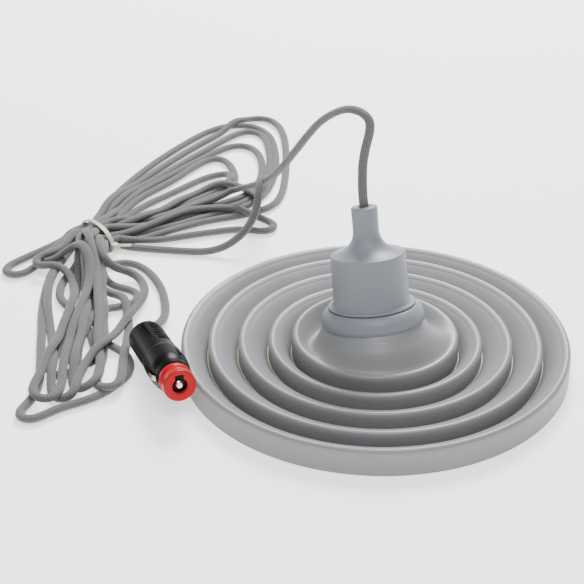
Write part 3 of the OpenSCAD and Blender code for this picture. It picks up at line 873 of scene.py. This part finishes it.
def make_plug_shells():
    outside = [(10.4, 0)] + curve((10.4, 0), (12, 0), (12, 1.8), steps=6)[1:] + [(12, 39.4), (11.7, 40)]
    inside = [(9.8, 40, False), (9.8, 3, False), (4.9, 3, False)]
    rows = [(4.9, 0, False)] + fine_rows(outside, 0.4, True) + inside
    rear = relief_turned("plug_rear_skin", rows, rear_relief)
    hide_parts("plug_rear_shell")
    outside = ([(12, 40.2)] + curve((12, 40.2), (12.75, 40.6), (12.75, 43.2), steps=6)[1:]
               + [(12.75, 57.6)] + curve((12.75, 57.6), (12.6, 60.4), (11.4, 64.3), steps=8)[1:]
               + [(11, ADAPTER_T - 0.3)])
    rows = ([(6.2, 40.2, False)] + fine_rows(outside, 0.4, True)
            + [(6.2, ADAPTER_T - 0.3, False), (6.2, 66.5, False), (8.6, 66.5, False), (8.6, 42.4, False),
               (6.2, 42.4, False)])
    front = relief_turned("plug_front_skin", rows, front_relief)
    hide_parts("plug_front_shell")
    for piece in (rear, front):
        dress(piece, BLACK)
        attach(piece, "base")


def keyhole(a):
    """Radius of the keyhole opening at angle a from the top."""
    r = 4.8
    if math.cos(a) > 0:
        slot = min(7.2 / math.cos(a), 2.7 / max(abs(math.sin(a)), 0.001))
        r = max(r, slot)
    return r


def make_adapter():
    """Red sleeve: stepped rim behind, groove, face ring with a keyhole."""
    matrix = plug_matrix()
    sides = 192
    rows = ([(6.3, ADAPTER_T), (9.9, ADAPTER_T), (10.45, ADAPTER_T + 0.5), (10.5, ADAPTER_T + 4),
             (10.2, ADAPTER_T + 4.7), (9.75, ADAPTER_T + 5.1), (9.75, ADAPTER_T + 6),
             (10.1, ADAPTER_T + 6.5)]
            + [(10.15, PLUG_LEN - 1.2)] + arc(9.35, PLUG_LEN - 0.8, 0.8, 0, 90, 6))
    face = [(0.35, 0), (0.1, -0.1), (0.0, -0.5), (0.0, -2.4)]
    verts = []
    for j in range(sides):
        a = 2 * math.pi * j / sides
        hole = keyhole(from_top(a))
        ring = rows + [(hole + dr, PLUG_LEN + dz) for dr, dz in face]
        ring += [(6.3 if hole < 6.3 else hole, PLUG_LEN - 2.45), (6.3, PLUG_LEN - 2.5)]
        for r, z in ring:
            verts.append((matrix @ Vector((-r * math.cos(a), r * math.sin(a), z))) * MM)
    piece = mesh_piece("plug_adapter_skin", verts, ring_faces(sides, len(ring)))
    soft_edges(piece, 35)
    dress(piece, RED)
    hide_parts("plug_adapter")
    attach(piece, "adapter")


BOOT_OUT = 9
BOOT_RIBBED = 9.5
BOOT_R = 3.7
BOOT_TAPER = 0.09
BOOT_RIB = 0.25
BOOT_RIB_PITCH = 1.9


def make_relief_boot():
    """Ribbed boot where the cord enters the plug."""
    steps = 24
    outside = []
    for i in range(steps + 1):
        t = -BOOT_OUT + BOOT_RIBBED * i / steps
        rib = BOOT_RIB * math.cos(2 * math.pi * t / BOOT_RIB_PITCH)
        outside.append((BOOT_R + BOOT_TAPER * (t + BOOT_OUT) + rib, t))
    outline = outside + [(4.6, 4), (2.9, 4), (2.9, -BOOT_OUT)]
    piece = turned("plug_boot", outline, plug_matrix(), sides=64)
    soft_edges(piece)
    dress(piece, BLACK)
    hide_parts("plug_strain_relief")
    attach(piece, "base")
    return piece


make_plug_shells()
make_adapter()
boot = make_relief_boot()

# ---- Cable tie ----


TIE_HALF_WIDE = 21.1
TIE_RISE = 11.4
TIE_DROP = 4.9
TIE_MIDDLE_Z = 5.5
STRAP_WIDE = 3.2
STRAP_THICK = 1.1
STRAP_CLEAR = 0.15


def strap_ring(a):
    """The strap's middle and its way out at angle a: arched above, flat below."""
    c, s = math.cos(a), math.sin(a)
    half_h, wide_power, high_power = (TIE_RISE, 0.8, 1.3) if s > 0 else (TIE_DROP, 0.5, 0.5)
    y = math.copysign(abs(c) ** wide_power, c)
    z = math.copysign(half_h * abs(s) ** high_power, s)
    middle = Vector((0, TIE_HALF_WIDE * y, TIE_MIDDLE_Z + z))
    middle.z = max(middle.z, STRAP_THICK / 2 + STRAP_CLEAR)
    return middle, Vector((0, c / TIE_HALF_WIDE, s / half_h)).normalized()


def make_tie():
    """Flat strap round the strands, its ratchet head at one end and the cut tail beyond it."""
    matrix = tie_matrix()
    sides = 72
    corners = ((-1, -1), (1, -1), (1, 1), (-1, 1))
    verts = []
    for j in range(sides):
        middle, out = strap_ring(2 * math.pi * j / sides)
        for x, o in corners:
            corner = middle + Vector((x * STRAP_WIDE / 2, 0, 0)) + out * (o * STRAP_THICK / 2)
            verts.append((matrix @ corner) * MM)
    band = mesh_piece("tie_strap", verts, ring_faces(sides, len(corners)))
    soft_edges(band)
    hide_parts("tie_band")
    head = rounded_block("tie_ratchet", (5.4, 5.0, 4.6), 0.7, matrix @ Matrix.Translation((0, -23, 7.4)))
    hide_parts("tie_head")
    tail_turn = Matrix.Rotation(math.radians(-36), 4, "Z")
    tail_place = matrix @ Matrix.Translation((5.4, -26.5, 8)) @ tail_turn
    tail = rounded_block("tie_tail", (11, 2.6, 1.1), 0.3, tail_place)
    for piece in (band, head, tail):
        dress(piece, TIE)
        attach(piece, "base")
    return [band, head, tail]


def rounded_block(name, size, edge, matrix):
    bm = bmesh.new()
    bmesh.ops.create_cube(bm, size=1)
    bmesh.ops.scale(bm, vec=size, verts=bm.verts)
    bmesh.ops.bevel(bm, geom=bm.edges, offset=edge, segments=3, profile=0.5, affect="EDGES")
    bmesh.ops.transform(bm, matrix=Matrix.Scale(MM, 4) @ matrix, verts=bm.verts)
    mesh = bpy.data.meshes.new(name)
    bm.to_mesh(mesh)
    bm.free()
    mesh.shade_smooth()
    piece = bpy.data.objects.new(name, mesh)
    bpy.context.scene.collection.objects.link(piece)
    soft_edges(piece, 30)
    return piece


tie = make_tie()

# ---- Floor and light ----


FLOOR_REACH = 6
FLOOR_COLOUR = (0.9, 0.9, 0.9, 1)
# The floor's own glow, which keeps it pale
FLOOR_GLOW = 1.1


def add_floor():
    bm = bmesh.new()
    bmesh.ops.create_grid(bm, x_segments=2, y_segments=2, size=FLOOR_REACH)
    mesh = bpy.data.meshes.new("floor")
    bm.to_mesh(mesh)
    bm.free()
    floor = bpy.data.objects.new("floor", mesh)
    bpy.context.scene.collection.objects.link(floor)
    material, _, _, bsdf = new_material("floor_white")
    bsdf.inputs["Base Color"].default_value = FLOOR_COLOUR
    bsdf.inputs["Roughness"].default_value = 0.9
    bsdf.inputs["Emission Color"].default_value = (1, 1, 1, 1)
    bsdf.inputs["Emission Strength"].default_value = FLOOR_GLOW
    dress(floor, material)


def add_light(name, location, target, size, power):
    data = bpy.data.lights.new(name, "AREA")
    data.shape = "DISK"
    data.size = size
    data.energy = power
    light = bpy.data.objects.new(name, data)
    light.location = location
    light.rotation_euler = (Vector(target) - Vector(location)).to_track_quat("-Z", "Y").to_euler()
    bpy.context.scene.collection.objects.link(light)


WORLD_STRENGTH = 2.0
# Height of the light's direction, from level at 0 to straight up at 1, and its brightness
WORLD_STOPS = [(0, 0.45), (0.16, 0.3), (0.3, 0.06), (0.55, 0.08), (0.82, 0.5), (1, 0.8)]


def add_world():
    """Overhead softbox and a white sweep at table height, with darker walls between."""
    world = bpy.data.worlds.new("studio")
    world.use_nodes = True
    nodes = world.node_tree.nodes
    links = world.node_tree.links
    background = nodes["Background"]
    background.inputs["Strength"].default_value = WORLD_STRENGTH
    where = nodes.new("ShaderNodeTexCoord")
    parts = nodes.new("ShaderNodeSeparateXYZ")
    links.new(where.outputs["Generated"], parts.inputs["Vector"])
    ramp = nodes.new("ShaderNodeValToRGB")
    elements = ramp.color_ramp.elements
    while len(elements) < len(WORLD_STOPS):
        elements.new(0.5)
    for element, (height, level) in zip(elements, WORLD_STOPS):
        element.position = height
        element.color = (level, level, level, 1)
    links.new(parts.outputs["Z"], ramp.inputs["Fac"])
    links.new(ramp.outputs["Color"], background.inputs["Color"])
    bpy.context.scene.world = world


add_floor()
add_world()
add_light("key", location=(0.1, 1.4, 1.4), target=(0, 0.05, 0), size=1.0, power=80)
add_light("fill", location=(0.1, -0.75, 1.4), target=(0, 0, 0), size=0.7, power=11)
